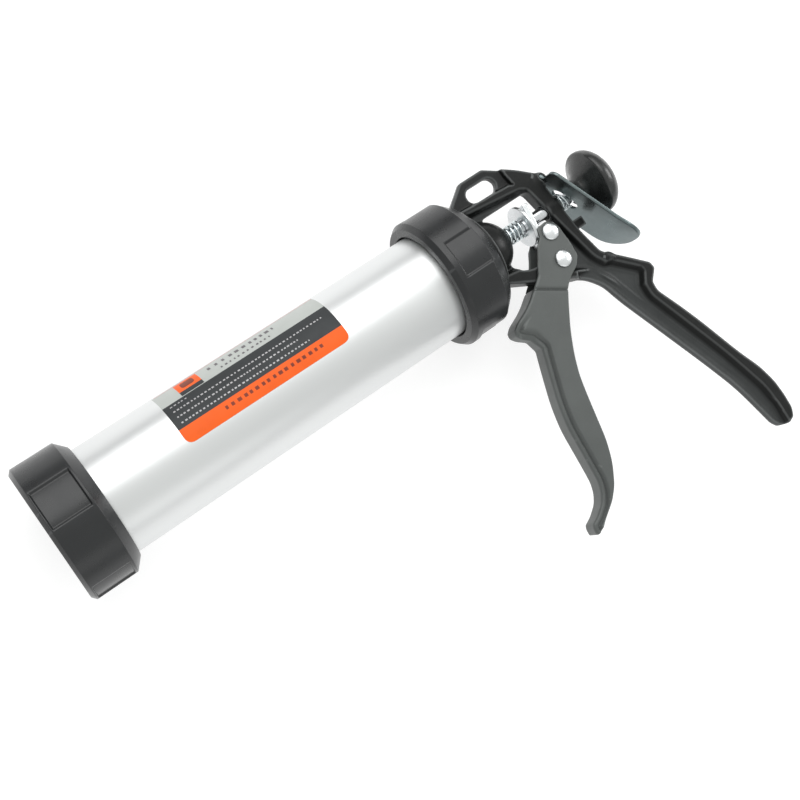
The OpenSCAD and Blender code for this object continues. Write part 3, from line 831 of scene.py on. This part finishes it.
def build_release():
    c, s = math.cos(LEAN), math.sin(LEAN)
    bend_r, straight, end = 50.0, 39.5, 58.5

    def plate(d, y, z):
        along = (d - HINGE[0]) * s + (y - HINGE[1]) * c
        across = (d - HINGE[0]) * c - (y - HINGE[1]) * s
        flat = np.abs(across) - 0.9
        curved = np.abs(np.hypot(across - bend_r, along - straight) - bend_r) - 0.9
        sheet = np.where(along < straight, flat, curved)
        sheet = np.maximum(sheet, -along)
        size = np.abs(along - (end + 1.4) / 2) - (end - 1.4) / 2
        plan = both(size, np.abs(z) - 16.0 + 0 * d, 4.0)
        tip = both(along - end, np.abs(z) - 16.0, 14.0)
        plan = np.maximum(plan, tip)
        tongue = np.maximum(np.abs(z) - 5.0, np.abs(along - 5) - 5)
        blade = both(sheet, np.minimum(plan, tongue), 0.45)
        bead = both(np.hypot(across, along) - 1.2, np.abs(z) - 4.8, 0.3)
        blade = np.minimum(blade, bead)
        hole = np.hypot(np.maximum(np.abs(y) - 2.75, 0), z) - 4.0
        return both(blade, -hole + 0 * d, 0.35)

    mesh = solid("release_plate", (52, -20, -18), (92, 42, 18), 0.36, plate)
    finish_piece("thumb_plate", mesh, "release_plate")

    wire, radius, turns = 0.45, 4.5, 2
    start = REAR_WALL + wire + 0.05
    gap = HINGE[0] - math.tan(LEAN) * HINGE[1] - 0.9 / c
    length = gap - wire - 0.15 - start
    path = []
    for i in range(turns * 28 + 1):
        k = i / (turns * 28)
        a = 2 * math.pi * turns * k
        along = k * (length + math.tan(LEAN) * radius * math.cos(a))
        path.append((-(BODY_AT + start + along), radius * math.cos(a), radius * math.sin(a)))
    coil = finish_piece("release_coil", sweep("release_coil", path, wire), "release_spring")
    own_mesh(coil)


# ---------------------------------------------------------------- rod, knob and piston

def build_rod():
    low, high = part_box("rod")
    front, back, r = high.x / MM, low.x / MM, high.y / MM
    profile = [(front, 0), (front, 2.5), (-32.5, 2.5), (-32.5, r), (back, r), (back, 0)]
    finish_piece("push_rod", lathe("push_rod", soften(profile, 0.4, closed=False), 96, radius=0,
                                   closed=False), "rod")
    low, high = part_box("knob")
    rim, rear = -BODY_AT - 81.4, -BODY_AT - 91.2
    face, radius = -BODY_AT - 69.6, high.y / MM
    profile = [(-BODY_AT - 71.5, 3.6), (face, 3.6), (face, 6), (face - 3, 6.6), (face - 5.5, 9.5)]
    profile += [(rim + 0.6 + 1.6 * math.sin(a), radius - 1.6 + 1.6 * math.cos(a))
                for a in np.radians([70, 56, 42, 28, 14, 0])]
    profile += [(rim - (rim - rear) * math.sin(a), radius * math.cos(a))
                for a in np.radians(np.arange(6, 90, 6))]
    profile += [(rear, 0)]
    cavity = [(-BODY_AT - 86, 0), (-BODY_AT - 86, 5.5), (-BODY_AT - 71.5, 5.5)]
    mesh = lathe("pull_knob", cavity + profile, 128, radius=0, closed=False)
    finish_piece("pull_knob", mesh, "knob")


def dress_hidden():
    """The pieces inside the barrel and the knob keep their CAD shape."""
    for node in ("knob_insert", "piston_nut", "piston_washer", "piston_cup", "piston_seal",
                 "piston_plate"):
        obj = frame["nodes"][node]
        obj.data.materials.clear()
        obj.data.materials.append(MATS[SLOT_OF[node]])


# ---------------------------------------------------------------- floor

def add_floor():
    """A white floor, which glows a little so that shadows stay pale."""
    z = CAD_BOX[0][2] - 0.0002
    size = 14.0
    bpy.ops.mesh.primitive_plane_add(size=size, location=(-0.15, 0.05, z))
    floor = bpy.context.object
    floor.name = "floor"
    mat = bpy.data.materials.new("floor")
    mat.use_nodes = True
    bsdf = mat.node_tree.nodes["Principled BSDF"]
    bsdf.inputs["Base Color"].default_value = (0.36, 0.36, 0.36, 1)
    bsdf.inputs["Roughness"].default_value = 0.8
    bsdf.inputs["Emission Color"].default_value = (1, 1, 1, 1)
    bsdf.inputs["Emission Strength"].default_value = 0.74
    floor.data.materials.append(mat)


add_camera()
add_world()
add_light("key", (-0.30, -0.62, 0.78), (-0.17, 0.02, 0), (1.1, 1.0), 7.6)
add_light("fill", (0.1, 0.85, 0.4), (-0.2, 0.05, 0), (0.9, 0.35), 0.6)
add_light("edge", (-1.0, 0.1, 0.45), (-0.25, 0.05, 0), (0.4, 0.4), 2.2)
add_floor()
build_caps()
build_tube()
build_label()
build_frame()
build_trigger()
build_pins()
build_drive()
build_release()
build_rod()
dress_hidden()
